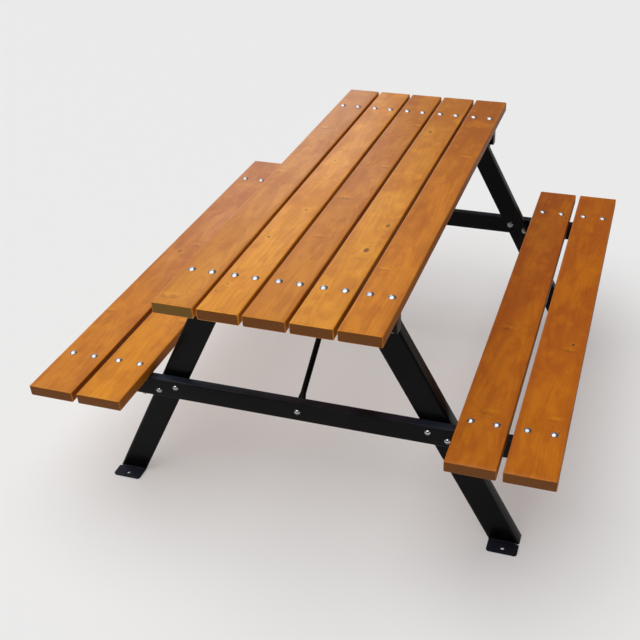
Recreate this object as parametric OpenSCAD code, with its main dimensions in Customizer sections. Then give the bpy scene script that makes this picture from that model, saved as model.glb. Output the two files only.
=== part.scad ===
// Picnic table: plank top and two plank benches on two steel A-frames.
// X runs across the table, Y along the planks, Z up. The origin is on the floor under the middle.

/* [Overall] */
// Height of the tabletop above the floor
table_height = 755; // [680:5:910]
// Height of the bench seats above the floor
seat_height = 422; // [350:1:510]
// Length of the tabletop planks
table_length = 1550; // [1200:10:2400]
// How far each bench runs past each end of the tabletop
bench_overrun = 5; // [0:1:30]
// Distance from the middle of the table to the inner edge of each bench
bench_reach = 440; // [400:5:540]

/* [Planks] */
// Thickness of every plank
plank_thickness = 32; // [24:1:45]
// Width of a tabletop plank
table_plank_width = 110; // [90:1:140]
// Gap between tabletop planks
table_plank_gap = 9; // [4:0.5:16]
// Width of a bench plank
bench_plank_width = 130; // [100:1:160]
// Gap between the two planks of a bench
bench_plank_gap = 15; // [5:1:25]
// Radius of the rounded plank edges
plank_edge_radius = 4; // [1:0.5:8]
// Distance between the two bolts across a tabletop plank
table_bolt_pitch = 56; // [40:1:66]
// Distance between the two bolts across a bench plank
bench_bolt_pitch = 67; // [45:1:75]

/* [Crossbars and top rails] */
// Distance from the end of the tabletop to the middle of each frame's tubes
frame_inset = 165; // [120:5:260]
// Height of the rectangular tube
tube_height = 60; // [45:1:80]
// Depth of the rectangular tube along the planks
tube_depth = 30; // [25:1:40]
// Wall of the rectangular tube
tube_wall = 2.5; // [1.5:0.1:3]
// Outer corner radius of the tube
tube_corner_radius = 5; // [3.5:0.5:8]
// How far the end of a crossbar stays inside the outer edge of the bench
crossbar_inset = 10; // [0:1:15]
// How far the end of a top rail stays inside the edge of the tabletop
rail_inset = 8; // [0:1:12]
// How far the tabletop bolts sit inboard of the middle of the top rail
table_bolt_shift = 5; // [0:0.5:5]
// Thickness of the end plate of a tube cap
cap_plate = 3; // [2:0.5:5]
// Depth of a cap's plug inside the tube
cap_plug = 9; // [5:1:9]
// Wall of a cap's hollow plug
cap_wall = 2; // [1.2:0.1:3]

/* [Legs] */
// Width of the leg's flat web
leg_width = 75; // [62:1:95]
// Depth of the leg's flange along the outer edge
leg_flange = 40; // [25:1:50]
// Thickness of the leg's steel
leg_thickness = 5; // [4:0.5:6]
// Outer radius of the leg's long bend
leg_bend_radius = 8; // [7:0.5:12]
// Distance from the edge of the tabletop in to the leg's outer edge, at the top of the leg
leg_top_inset = 52; // [40:1:80]
// Space between the leg's outer edge and the inner edge of the bench, at the bench's underside
leg_bench_space = 25; // [15:1:50]
// Length of the foot tab along the floor
foot_length = 45; // [38:1:70]
// Radius of the foot tab's front corners
foot_corner_radius = 8; // [3:1:15]
// Size of the flat that eases the bend between web and foot tab
foot_bend = 4; // [2:0.5:4.5]
// Diameter of the anchor hole in each foot tab
anchor_hole_d = 11; // [9:0.5:14]
// Distance from the front edge of the foot tab to the anchor hole
anchor_hole_inset = 17; // [12:1:20]
// Distance between the two bolts of a leg joint, measured level
leg_bolt_pitch = 53; // [40:1:55]
// Drop from the inner to the outer bolt of a leg joint
leg_bolt_drop = 18; // [0:1:24]

/* [Braces] */
// Diameter of the brace bar
brace_d = 16; // [12:1:20]
// Width of the brace's flattened ends
brace_tab_width = 25; // [22:1:32]
// Thickness of the brace's flattened ends
brace_tab_thickness = 4; // [3:0.5:6]
// Height of the straight tab above the middle of the brace bolt
brace_tab_rise = 15; // [14:1:30]
// Length of the upper tab under the tabletop
brace_top_tab = 44; // [38:1:60]
// Distance from the middle of the table to the tip of the upper tab
brace_tip_gap = 6; // [2:1:20]
// Length over which the bar is pressed from round to flat
brace_flare = 26; // [20:1:40]

/* [Fasteners] */
// Diameter of the plank bolts
plank_bolt_d = 8; // [6:1:8]
// Diameter of the plank bolts' domed heads
plank_bolt_head_d = 20.6; // [18:0.2:24]
// Height of the plank bolts' domed heads
plank_bolt_head_h = 5; // [3:0.5:6]
// Height of the square neck under a plank bolt's head
plank_bolt_neck_h = 4; // [3:0.5:6]
// Diameter of the frame bolts
frame_bolt_d = 10; // [8:1:10]
// Diameter of the frame bolts' domed heads
frame_bolt_head_d = 17.5; // [16:0.5:22]
// Height of the frame bolts' domed heads
frame_bolt_head_h = 5.5; // [3:0.5:7]
// How far a bolt sticks out of its nut
bolt_end = 3; // [1:0.5:8]
// Diameter of the wood screws that hold the brace to the tabletop
screw_d = 5; // [4:0.5:6]
// Length of the wood screws
screw_length = 25; // [18:1:30]
// Radial clearance of a bolt in its hole
bolt_clearance = 0.5; // [0.3:0.1:1]
// Clearance between pieces that slide into each other
fit_clearance = 0.3; // [0.2:0.1:0.5]

/* [Hidden] */
$fn = 48;
HEX = 6;
CUT = 1;

// Tabletop layout
PLANK_COUNT = 5;
table_plank_step = table_plank_width + table_plank_gap;
table_half_width = (PLANK_COUNT * table_plank_width + (PLANK_COUNT - 1) * table_plank_gap) / 2;
table_underside = table_height - plank_thickness;
table_plank_x = [for (i = [0 : PLANK_COUNT - 1]) (i - (PLANK_COUNT - 1) / 2) * table_plank_step];

// Bench layout
bench_length = table_length + 2 * bench_overrun;
bench_underside = seat_height - plank_thickness;
bench_inner_x = bench_reach + bench_plank_width / 2;
bench_outer_x = bench_inner_x + bench_plank_width + bench_plank_gap;
bench_outer_edge = bench_outer_x + bench_plank_width / 2;

// Frame layout
frame_y = table_length / 2 - frame_inset;
frame_outer_face = frame_y + tube_depth / 2;
leg_face = frame_y - tube_depth / 2;
crossbar_mid_z = bench_underside - tube_height / 2;
rail_mid_z = table_underside - tube_height / 2;
crossbar_length = 2 * (bench_outer_edge - crossbar_inset - cap_plate);
rail_length = 2 * (table_half_width - rail_inset - cap_plate);
table_bolt_y = frame_y - table_bolt_shift;

// Leg line, from where it passes the bench and the tabletop
leg_top_x = table_half_width - leg_top_inset;
leg_bench_x = bench_reach - leg_bench_space;
leg_slope = (leg_bench_x - leg_top_x) / (table_underside - bench_underside);
leg_lean = atan(leg_slope);
leg_level_width = leg_width / cos(leg_lean);
foot_outer_x = leg_bench_x + leg_slope * bench_underside;
foot_mid_x = foot_outer_x - leg_level_width / 2;
leg_run = table_underside / cos(leg_lean) + 2 * leg_width;
foot_front = leg_face + foot_length;
foot_bend_end = 1;
foot_bend_length = leg_level_width - 2 * leg_bend_radius - foot_bend_end;
anchor_y = foot_front - anchor_hole_inset;

function leg_outer_x(z) = foot_outer_x - leg_slope * z;
function leg_mid_x(z) = leg_outer_x(z) - leg_level_width / 2;
// The two bolts of a leg joint at height z, inner one first
function leg_joint(z) = [
    [leg_mid_x(z) - leg_bolt_pitch / 2, z + leg_bolt_drop / 2],
    [leg_mid_x(z) + leg_bolt_pitch / 2, z - leg_bolt_drop / 2]
];

// Brace line
brace_tab_y = leg_face - brace_tab_thickness / 2;
brace_low = [0, brace_tab_y, crossbar_mid_z + brace_tab_rise];
brace_high = [0, brace_tip_gap + brace_top_tab, table_underside - brace_tab_thickness / 2];
brace_run = norm(brace_high - brace_low);
brace_tilt = atan2(brace_low[1] - brace_high[1], brace_high[2] - brace_low[2]);
screw_hole_edge = 11;
screw_y = [brace_tip_gap + screw_hole_edge, brace_tip_gap + brace_top_tab - screw_hole_edge];

// Standard nut and washer sizes for each bolt
plank_nut_af = 13;
plank_nut_h = 6.5;
plank_washer_d = 16;
frame_nut_af = 16;
frame_nut_h = 8;
frame_washer_d = 20;
washer_h = 1.6;
screw_head_d = 9;
screw_head_h = 2.5;

plank_hole_d = plank_bolt_d + 2 * bolt_clearance;
frame_hole_d = frame_bolt_d + 2 * bolt_clearance;
plank_grip = plank_thickness + tube_height;
leg_grip = tube_depth + leg_thickness;
brace_grip = tube_depth + brace_tab_thickness;

// ---- Shared shapes ----

module rounded_rect(width, height, radius) {
    square([width - 2 * radius, height], center = true);
    square([width, height - 2 * radius], center = true);
    for (sx = [-1, 1], sy = [-1, 1])
        translate([sx * (width / 2 - radius), sy * (height / 2 - radius)])
            circle(radius);
}

// Draws its children in the near frame
module near() {
    mirror([0, 1, 0]) children();
}

// Draws its children at both frames
module both_frames() {
    children();
    mirror([0, 1, 0]) children();
}

// Draws its children on both sides of the table
module both_sides() {
    children();
    mirror([1, 0, 0]) children();
}

// A bolt hole from the underside of a plank up, with a square pocket for the bolt's neck
module neck_hole(top) {
    neck = plank_bolt_d + 2 * fit_clearance;
    depth = plank_bolt_neck_h + fit_clearance;
    translate([0, 0, top - plank_thickness - CUT])
        cylinder(h = plank_thickness + 2 * CUT, d = plank_hole_d);
    translate([-neck / 2, -neck / 2, top - depth])
        cube([neck, neck, depth + CUT]);
}

// A plank with rounded long edges and corners, drilled for two bolts at each frame
module plank(x, top, width, length, bolt_pitch, bolt_y) {
    difference() {
        intersection() {
            translate([x, length / 2, top - plank_thickness / 2])
                rotate([90, 0, 0])
                    linear_extrude(length)
                        rounded_rect(width, plank_thickness, plank_edge_radius);
            translate([x, 0, top - plank_thickness])
                linear_extrude(plank_thickness)
                    rounded_rect(width, length, plank_edge_radius);
        }
        for (sx = [-1, 1], sy = [-1, 1])
            translate([x + sx * bolt_pitch / 2, sy * bolt_y, 0])
                neck_hole(top);
    }
}

// A hex nut standing on z = 0
module nut(across_flats, height, bore) {
    difference() {
        cylinder(h = height, d = across_flats / cos(180 / HEX), $fn = HEX);
        translate([0, 0, -CUT])
            cylinder(h = height + 2 * CUT, d = bore);
    }
}

// A flat washer standing on z = 0
module washer(outer_d, bore) {
    difference() {
        cylinder(h = washer_h, d = outer_d);
        translate([0, 0, -CUT])
            cylinder(h = washer_h + 2 * CUT, d = bore);
    }
}

// A domed head standing on z = 0
module dome(diameter, height) {
    ball_r = (pow(diameter / 2, 2) + pow(height, 2)) / (2 * height);
    intersection() {
        translate([0, 0, height - ball_r]) sphere(ball_r);
        cylinder(h = height, d = diameter);
    }
}

// ---- Planks ----

module top_plank(i) {
    color("peru")
        plank(table_plank_x[i], table_height, table_plank_width, table_length,
              table_bolt_pitch, table_bolt_y);
}

// The middle plank also has the pilot holes for the brace screws
module middle_plank() {
    color("peru")
        difference() {
            top_plank(2);
            both_frames()
                for (y = screw_y)
                    translate([0, y, table_underside - CUT])
                        cylinder(h = screw_length - brace_tab_thickness + fit_clearance + CUT,
                                 d = screw_d + 2 * fit_clearance);
        }
}

module bench_plank(x) {
    color("sandybrown")
        plank(x, seat_height, bench_plank_width, bench_length, bench_bolt_pitch, frame_y);
}

// ---- Legs ----

// Leans its children so that Z runs up the leg's outer edge from the floor
module along_leg() {
    translate([foot_outer_x, leg_face, 0])
        rotate([0, -leg_lean, 0])
            translate([0, 0, -leg_width])
                linear_extrude(leg_run)
                    children();
}

// The layer of space between two heights
module layer(z0, z1) {
    reach = 2 * foot_outer_x;
    translate([0, 0, z0]) cube([reach, reach + 2 * leg_face, z1 - z0]);
}

// Angle section with a rolled corner: web along X, flange along Y
module leg_section() {
    r = leg_bend_radius;
    translate([-leg_width, -leg_thickness])
        square([leg_width - r, leg_thickness]);
    translate([-leg_thickness, -leg_flange])
        square([leg_thickness, leg_flange - r]);
    translate([-r, -r])
        intersection() {
            difference() {
                circle(r);
                circle(r - leg_thickness);
            }
            square(r);
        }
}

// Foot tab on the floor, with rounded front corners
module foot_tab() {
    r = foot_corner_radius;
    start = leg_face - leg_thickness / 2;
    translate([foot_mid_x, 0, 0])
        linear_extrude(leg_thickness) {
            translate([-leg_level_width / 2, start])
                square([leg_level_width, foot_front - r - start]);
            translate([-leg_level_width / 2 + r, foot_front - 2 * r])
                square([leg_level_width - 2 * r, 2 * r]);
            for (s = [-1, 1])
                translate([s * (leg_level_width / 2 - r), foot_front - r]) circle(r);
        }
}

// Triangle along X whose long side cuts the corner at (y, z)
module bend_wedge(y, z, x_end) {
    c = foot_bend + CUT;
    translate([foot_outer_x - leg_level_width + foot_bend_end, y, z])
        rotate([90, 0, 90])
            linear_extrude(x_end)
                polygon([[-CUT, -CUT], [c, -CUT], [-CUT, c]]);
}

module far_right_leg() {
    color("dimgray")
        difference() {
            union() {
                intersection() {
                    along_leg() leg_section();
                    layer(0, table_underside);
                }
                foot_tab();
                bend_wedge(leg_face, leg_thickness, foot_bend_length);
            }
            translate([-leg_width, 0, 0])
                bend_wedge(leg_face - leg_thickness, 0, foot_bend_length + leg_width);
            for (p = concat(leg_joint(crossbar_mid_z), leg_joint(rail_mid_z)))
                translate([p[0], leg_face + CUT, p[1]])
                    rotate([90, 0, 0])
                        cylinder(h = leg_thickness + 2 * CUT, d = frame_hole_d);
            translate([foot_mid_x, anchor_y, -CUT])
                cylinder(h = leg_thickness + 2 * CUT, d = anchor_hole_d);
        }
}

module far_left_leg() {
    mirror([1, 0, 0]) far_right_leg();
}

module near_right_leg() {
    near() far_right_leg();
}

module near_left_leg() {
    near() far_left_leg();
}

// ---- Tubes and caps ----

// Rectangular tube along X with its middle at height z
module tube(length, z) {
    translate([-length / 2, frame_y, z])
        rotate([90, 0, 90])
            linear_extrude(length)
                difference() {
                    rounded_rect(tube_depth, tube_height, tube_corner_radius);
                    rounded_rect(tube_depth - 2 * tube_wall, tube_height - 2 * tube_wall,
                                 tube_corner_radius - tube_wall);
                }
}

// Holes through the tube for the bolts of both legs
module leg_bolt_holes(z) {
    both_sides()
        for (p = leg_joint(z))
            translate([p[0], frame_outer_face + CUT, p[1]])
                rotate([90, 0, 0])
                    cylinder(h = tube_depth + 2 * CUT, d = frame_hole_d);
}

module far_crossbar() {
    color("darkslategray")
        difference() {
            tube(crossbar_length, crossbar_mid_z);
            leg_bolt_holes(crossbar_mid_z);
            translate([0, frame_outer_face + CUT, crossbar_mid_z])
                rotate([90, 0, 0])
                    cylinder(h = tube_depth + 2 * CUT, d = frame_hole_d);
            for (x = bench_bolt_x())
                translate([x, frame_y, bench_underside - tube_height - CUT])
                    cylinder(h = tube_height + 2 * CUT, d = plank_hole_d);
        }
}

module near_crossbar() {
    near() far_crossbar();
}

module far_top_rail() {
    color("slategray")
        difference() {
            tube(rail_length, rail_mid_z);
            leg_bolt_holes(rail_mid_z);
            for (x = table_bolt_x())
                translate([x, table_bolt_y, table_underside - tube_height - CUT])
                    cylinder(h = tube_height + 2 * CUT, d = plank_hole_d);
        }
}

module near_top_rail() {
    near() far_top_rail();
}

// A cap on each end of a tube: a plate with a hollow plug inside the tube
module tube_caps(length, z) {
    plug_depth_y = tube_depth - 2 * (tube_wall + fit_clearance);
    plug_height = tube_height - 2 * (tube_wall + fit_clearance);
    plug_radius = tube_corner_radius - tube_wall;
    both_sides()
        translate([length / 2, frame_y, z])
            rotate([90, 0, 90]) {
                linear_extrude(cap_plate)
                    rounded_rect(tube_depth, tube_height, tube_corner_radius);
                translate([0, 0, -cap_plug])
                    linear_extrude(cap_plug)
                        difference() {
                            rounded_rect(plug_depth_y, plug_height, plug_radius);
                            square([plug_depth_y - 2 * cap_wall, plug_height - 2 * cap_wall],
                                   center = true);
                        }
            }
}

module far_crossbar_caps() {
    color("gray") tube_caps(crossbar_length, crossbar_mid_z);
}

module near_crossbar_caps() {
    near() far_crossbar_caps();
}

module far_rail_caps() {
    color("gray") tube_caps(rail_length, rail_mid_z);
}

module near_rail_caps() {
    near() far_rail_caps();
}

// ---- Braces ----

// A bar from the middle of the crossbar to the middle plank, pressed flat at both ends
module far_brace() {
    flat = brace_tab_thickness;
    slice = 0.5;
    color("lightsteelblue")
        difference() {
            union() {
                // Lower tab against the crossbar, with a round end about the bolt
                translate([0, leg_face, crossbar_mid_z])
                    rotate([90, 0, 0])
                        cylinder(h = flat, d = brace_tab_width);
                translate([-brace_tab_width / 2, leg_face - flat, crossbar_mid_z])
                    cube([brace_tab_width, flat, brace_tab_rise]);
                // Lower flare
                hull() {
                    translate([-brace_tab_width / 2, leg_face - flat, brace_low[2] - slice])
                        cube([brace_tab_width, flat, slice]);
                    translate(brace_low)
                        rotate([brace_tilt, 0, 0])
                            translate([0, 0, brace_flare])
                                cylinder(h = slice, d = brace_d - 2 * slice, $fn = 32);
                }
                // Round bar
                translate(brace_low)
                    rotate([brace_tilt, 0, 0])
                        translate([0, 0, brace_flare])
                            cylinder(h = brace_run - 2 * brace_flare, d = brace_d);
                // Upper flare
                hull() {
                    translate(brace_low)
                        rotate([brace_tilt, 0, 0])
                            translate([0, 0, brace_run - brace_flare - slice])
                                cylinder(h = slice, d = brace_d - 2 * slice, $fn = 32);
                    translate([-brace_tab_width / 2, brace_high[1] - slice, table_underside - flat])
                        cube([brace_tab_width, slice, flat]);
                }
                // Upper tab against the middle plank
                translate([-brace_tab_width / 2, brace_tip_gap, table_underside - flat])
                    cube([brace_tab_width, brace_top_tab, flat]);
            }
            translate([0, leg_face + CUT, crossbar_mid_z])
                rotate([90, 0, 0])
                    cylinder(h = flat + 2 * CUT, d = frame_hole_d);
            for (y = screw_y)
                translate([0, y, table_underside - flat - CUT])
                    cylinder(h = flat + 2 * CUT, d = screw_d + 2 * fit_clearance);
        }
}

module near_brace() {
    near() far_brace();
}

// ---- Fasteners ----

function table_bolt_x() = [
    for (x = table_plank_x, s = [-1, 1]) x + s * table_bolt_pitch / 2
];
function bench_bolt_x() = [
    for (side = [-1, 1], x = [bench_inner_x, bench_outer_x], s = [-1, 1])
        side * x + s * bench_bolt_pitch / 2
];

// Domed bolt with a square neck, its head standing on z = 0 and its shank below
module plank_bolt() {
    shank = plank_grip + washer_h + plank_nut_h + bolt_end;
    dome(plank_bolt_head_d, plank_bolt_head_h);
    translate([-plank_bolt_d / 2, -plank_bolt_d / 2, -plank_bolt_neck_h])
        cube([plank_bolt_d, plank_bolt_d, plank_bolt_neck_h]);
    translate([0, 0, -shank])
        cylinder(h = shank, d = plank_bolt_d);
}

// Draws its children at every tabletop bolt
module at_table_bolts(z) {
    both_frames()
        for (x = table_bolt_x())
            translate([x, table_bolt_y, z]) children();
}

// Draws its children at every bench bolt
module at_bench_bolts(z) {
    both_frames()
        for (x = bench_bolt_x())
            translate([x, frame_y, z]) children();
}

module table_bolts() {
    color("gold") at_table_bolts(table_height) plank_bolt();
}

module table_washers() {
    color("silver")
        at_table_bolts(table_underside - tube_height - washer_h)
            washer(plank_washer_d, plank_hole_d);
}

module table_nuts() {
    color("khaki")
        at_table_bolts(table_underside - tube_height - washer_h - plank_nut_h)
            nut(plank_nut_af, plank_nut_h, plank_bolt_d + fit_clearance);
}

module bench_bolts() {
    color("gold") at_bench_bolts(seat_height) plank_bolt();
}

module bench_washers() {
    color("silver")
        at_bench_bolts(bench_underside - tube_height - washer_h)
            washer(plank_washer_d, plank_hole_d);
}

module bench_nuts() {
    color("khaki")
        at_bench_bolts(bench_underside - tube_height - washer_h - plank_nut_h)
            nut(plank_nut_af, plank_nut_h, plank_bolt_d + fit_clearance);
}

// Domed frame bolt along -Y from the tube's outer face, through the given grip
module frame_bolt(grip) {
    shank = grip + washer_h + frame_nut_h + bolt_end;
    translate([0, frame_outer_face, 0])
        rotate([-90, 0, 0]) {
            dome(frame_bolt_head_d, frame_bolt_head_h);
            translate([0, 0, -shank])
                cylinder(h = shank, d = frame_bolt_d);
        }
}

// Draws its children at every leg bolt of the joints at height z
module at_leg_joints(z) {
    both_frames()
        both_sides()
            for (p = leg_joint(z))
                translate([p[0], 0, p[1]]) children();
}

// A washer on the inner face of what the bolt grips
module frame_washer(grip) {
    translate([0, frame_outer_face - grip, 0])
        rotate([90, 0, 0])
            washer(frame_washer_d, frame_hole_d);
}

// A nut on the washer
module frame_nut(grip) {
    translate([0, frame_outer_face - grip - washer_h, 0])
        rotate([90, 0, 0])
            nut(frame_nut_af, frame_nut_h, frame_bolt_d + fit_clearance);
}

module leg_bolts() {
    color("gold") at_leg_joints(crossbar_mid_z) frame_bolt(leg_grip);
}

module leg_washers() {
    color("silver") at_leg_joints(crossbar_mid_z) frame_washer(leg_grip);
}

module leg_nuts() {
    color("khaki") at_leg_joints(crossbar_mid_z) frame_nut(leg_grip);
}

module rail_bolts() {
    color("gold") at_leg_joints(rail_mid_z) frame_bolt(leg_grip);
}

module rail_washers() {
    color("silver") at_leg_joints(rail_mid_z) frame_washer(leg_grip);
}

module rail_nuts() {
    color("khaki") at_leg_joints(rail_mid_z) frame_nut(leg_grip);
}

module brace_bolts() {
    color("gold")
        both_frames()
            translate([0, 0, crossbar_mid_z]) frame_bolt(brace_grip);
}

module brace_washers() {
    color("silver")
        both_frames()
            translate([0, 0, crossbar_mid_z]) frame_washer(brace_grip);
}

module brace_nuts() {
    color("khaki")
        both_frames()
            translate([0, 0, crossbar_mid_z]) frame_nut(brace_grip);
}

// Round-headed wood screws through the upper tabs, driven up into the middle plank
module brace_screws() {
    color("gold")
        both_frames()
            for (y = screw_y)
                translate([0, y, table_underside - brace_tab_thickness]) {
                    mirror([0, 0, 1]) dome(screw_head_d, screw_head_h);
                    cylinder(h = screw_length, d = screw_d);
                }
}

top_plank(0);  // top_plank_1
top_plank(1);  // top_plank_2
middle_plank();  // top_plank_3
top_plank(3);  // top_plank_4
top_plank(4);  // top_plank_5
bench_plank(-bench_outer_x);  // left_bench_outer_plank
bench_plank(-bench_inner_x);  // left_bench_inner_plank
bench_plank(bench_inner_x);  // right_bench_inner_plank
bench_plank(bench_outer_x);  // right_bench_outer_plank
near_left_leg();
near_right_leg();
far_left_leg();
far_right_leg();
near_crossbar();
far_crossbar();
near_top_rail();
far_top_rail();
near_crossbar_caps();
far_crossbar_caps();
near_rail_caps();
far_rail_caps();
near_brace();
far_brace();
table_bolts();
table_washers();
table_nuts();
bench_bolts();
bench_washers();
bench_nuts();
leg_bolts();
leg_washers();
leg_nuts();
rail_bolts();
rail_washers();
rail_nuts();
brace_bolts();
brace_washers();
brace_nuts();
brace_screws();
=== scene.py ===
import math

import bpy
import bmesh
from mathutils import Matrix, Vector, noise


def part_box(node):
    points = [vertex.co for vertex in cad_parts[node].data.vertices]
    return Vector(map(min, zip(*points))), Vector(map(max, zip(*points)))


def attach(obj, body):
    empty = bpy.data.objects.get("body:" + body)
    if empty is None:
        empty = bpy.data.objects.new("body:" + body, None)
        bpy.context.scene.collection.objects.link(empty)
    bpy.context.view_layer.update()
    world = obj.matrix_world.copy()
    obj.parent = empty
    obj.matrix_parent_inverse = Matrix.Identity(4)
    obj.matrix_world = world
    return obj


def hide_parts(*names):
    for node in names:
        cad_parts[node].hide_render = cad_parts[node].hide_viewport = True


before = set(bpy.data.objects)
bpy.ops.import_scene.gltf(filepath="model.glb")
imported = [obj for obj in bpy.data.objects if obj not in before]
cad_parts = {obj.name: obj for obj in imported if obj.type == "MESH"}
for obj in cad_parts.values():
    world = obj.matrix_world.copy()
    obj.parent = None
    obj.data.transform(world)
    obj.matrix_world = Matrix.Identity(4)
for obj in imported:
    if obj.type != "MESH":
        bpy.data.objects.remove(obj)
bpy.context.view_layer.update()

# ---- Sizes that the steel and timber share, in metres ----

EDGE_RADIUS = 0.004        # rounded long edges of the planks
END_EASE = 0.0022          # rounding around the planks' ends
BOARD_STEPS = 150          # sections along a plank
STEEL = 0.005              # thickness of the leg angle
FLANGE = 0.040             # width of the leg's flange
ROLLED_CORNER = 0.008      # outside radius between web and flange
LEG_WIDTH = 0.075          # width of the leg's web, square to the leg
FOOT_BEND = 0.004          # inside radius of the bend above the foot tab
FOOT_CORNER = 0.008        # front corners of the foot tab
FOOT_LENGTH = 0.045        # foot tab in front of the web
ANCHOR_HOLE = 0.011
ANCHOR_INSET = 0.017       # anchor hole back from the tab's front edge
STEEL_EASE = 0.0009        # eased edges of the leg
TUBE_CORNER = 0.005
TUBE_WALL = 0.0025
CAP_PLATE = 0.003
THREAD_LENGTH = 0.014      # cut thread at the end of a bolt
FULL_TURN = 6.283


# ---- Camera, light and floor ----

CAMERA_UNIT = 1.55 / 1800.0                 # metres; the tabletop is 1800 of these units long
CAMERA_AIM = (95.139, -142.308, 400.0)      # in camera units, as is the distance
CAMERA_DISTANCE = 3396.879
CAMERA_TURN = (17.425, 33.207, -1.305)      # azimuth, elevation and roll in degrees
SENSOR = 36.0                               # millimetres
LENS = 52.9390125                           # focal length in millimetres
LENS_SHIFT = (-0.09375, 0.00461875)         # shares of the picture's width


def new_object(name, data):
    made = bpy.data.objects.new(name, data)
    bpy.context.scene.collection.objects.link(made)
    return made


def stand_camera():
    azimuth, elevation, roll = (math.radians(angle) for angle in CAMERA_TURN)
    back = Vector((math.sin(azimuth) * math.cos(elevation),
                   -math.cos(azimuth) * math.cos(elevation), math.sin(elevation)))
    right = (-back).cross(Vector((0, 0, 1))).normalized()
    up = right.cross(-back)
    rolled_right = right * math.cos(roll) + up * math.sin(roll)
    rolled_up = up * math.cos(roll) - right * math.sin(roll)
    aim = Vector(CAMERA_AIM) * CAMERA_UNIT
    camera = new_object("camera", bpy.data.cameras.new("camera"))
    turn = Matrix((rolled_right, rolled_up, back)).transposed().to_4x4()
    camera.matrix_world = Matrix.Translation(aim + back * CAMERA_DISTANCE * CAMERA_UNIT) @ turn
    camera.data.sensor_width = SENSOR
    camera.data.lens = LENS
    camera.data.shift_x, camera.data.shift_y = LENS_SHIFT
    camera.data.clip_start, camera.data.clip_end = 0.1, 60.0
    bpy.context.scene.camera = camera


def soft_panel(name, place, target, width, height, watts, colour):
    light = bpy.data.lights.new(name, "AREA")
    light.shape = "RECTANGLE"
    light.size, light.size_y = width, height
    light.energy = watts
    light.color = colour
    panel = new_object(name, light)
    away = Vector(place) - Vector(target)
    panel.location = place
    panel.rotation_euler = away.to_track_quat("Z", "Y").to_euler()


def soft_sun(name, direction, strength, spread, colour):
    light = bpy.data.lights.new(name, "SUN")
    light.energy, light.angle, light.color = strength, math.radians(spread), colour
    sun = new_object(name, light)
    sun.rotation_euler = Vector(direction).to_track_quat("Z", "Y").to_euler()


def light_studio():
    soft_sun("ceiling", direction=(-0.22, -0.05, 1.0), strength=2.62, spread=80, colour=(1.0, 0.995, 0.985))
    soft_panel("far_left_panel", place=(-2.1, 4.0, 2.2), target=(0, 0.2, 0.6), width=1.9, height=1.4,
               watts=17, colour=(0.97, 0.98, 1.0))
    world = bpy.data.worlds.new("studio")
    bpy.context.scene.world = world
    world.use_nodes = True
    # A pale wall glows on the left; the rest of the room is dim
    tree = world.node_tree
    sight = add_node(tree, "ShaderNodeTexCoord").outputs["Generated"]
    glow = add_node(tree, "ShaderNodeVectorMath", operation="DOT_PRODUCT")
    tree.links.new(sight, glow.inputs[0])
    glow.inputs[1].default_value = (-0.80, 0.58, 0.15)
    wall = ranged(tree, glow.outputs["Value"], 0.55, 0.97, 0.09, 0.42)
    # Seen directly, the room is the same pale tone as the floor
    seen = add_node(tree, "ShaderNodeLightPath").outputs["Is Camera Ray"]
    wall = sum_of(tree, "MAXIMUM", wall, sum_of(tree, "MULTIPLY", seen, 0.82))
    tree.links.new(wall, tree.nodes["Background"].inputs["Strength"])
    tree.nodes["Background"].inputs["Color"].default_value = (0.96, 0.98, 1.0, 1)


def keep_panel_off(stage_piece):
    """The sheen panel lights the table only, so the floor stays even."""
    kept = bpy.data.collections.new("unlit_by_panel")
    kept.objects.link(stage_piece)
    bpy.data.objects["far_left_panel"].light_linking.receiver_collection = kept
    kept.collection_objects[0].light_linking.link_state = "EXCLUDE"


def lay_floor():
    bpy.ops.mesh.primitive_plane_add(size=40.0, location=(0, 0, -0.0004))
    floor = bpy.context.object
    floor.name = "floor"
    paint, shader, _ = new_finish("floor_paint")
    shader.inputs["Base Color"].default_value = (0.62, 0.62, 0.62, 1)
    shader.inputs["Emission Color"].default_value = (0.985, 0.99, 1.0, 1)
    shader.inputs["Emission Strength"].default_value = 0.25
    shader.inputs["Roughness"].default_value = 0.9
    shader.inputs["Specular IOR Level"].default_value = 0.2
    floor.data.materials.append(paint)
    keep_panel_off(floor)


# ---- Node helpers for the finishes ----

def new_finish(name):
    finish = bpy.data.materials.new(name)
    finish.use_nodes = True
    nodes = finish.node_tree.nodes
    return finish, nodes["Principled BSDF"], finish.node_tree


def add_node(tree, kind, **settings):
    node = tree.nodes.new(kind)
    for key, value in settings.items():
        setattr(node, key, value)
    return node


def feed(tree, value, socket):
    if isinstance(value, bpy.types.NodeSocket):
        tree.links.new(value, socket)
    else:
        socket.default_value = value


def sum_of(tree, operation, *values):
    node = add_node(tree, "ShaderNodeMath", operation=operation)
    for socket, value in zip(node.inputs, values):
        feed(tree, value, socket)
    return node.outputs[0]


def vector_of(tree, operation, *values):
    node = add_node(tree, "ShaderNodeVectorMath", operation=operation)
    for socket, value in zip(node.inputs, values):
        feed(tree, value, socket)
    return node.outputs["Value" if operation in ("LENGTH", "DISTANCE") else "Vector"]


def ranged(tree, value, low, high, out_low=0.0, out_high=1.0):
    node = add_node(tree, "ShaderNodeMapRange", interpolation_type="SMOOTHSTEP")
    feed(tree, value, node.inputs["Value"])
    for name, number in (("From Min", low), ("From Max", high), ("To Min", out_low), ("To Max", out_high)):
        node.inputs[name].default_value = number
    return node.outputs["Result"]


def cloud(tree, where, scale, detail=3.0, roughness=0.5, stretch=None):
    node = add_node(tree, "ShaderNodeTexNoise")
    if stretch:
        where = vector_of(tree, "MULTIPLY", where, stretch)
    feed(tree, where, node.inputs["Vector"])
    node.inputs["Scale"].default_value = scale
    node.inputs["Detail"].default_value = detail
    node.inputs["Roughness"].default_value = roughness
    return node.outputs["Fac"]


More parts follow.
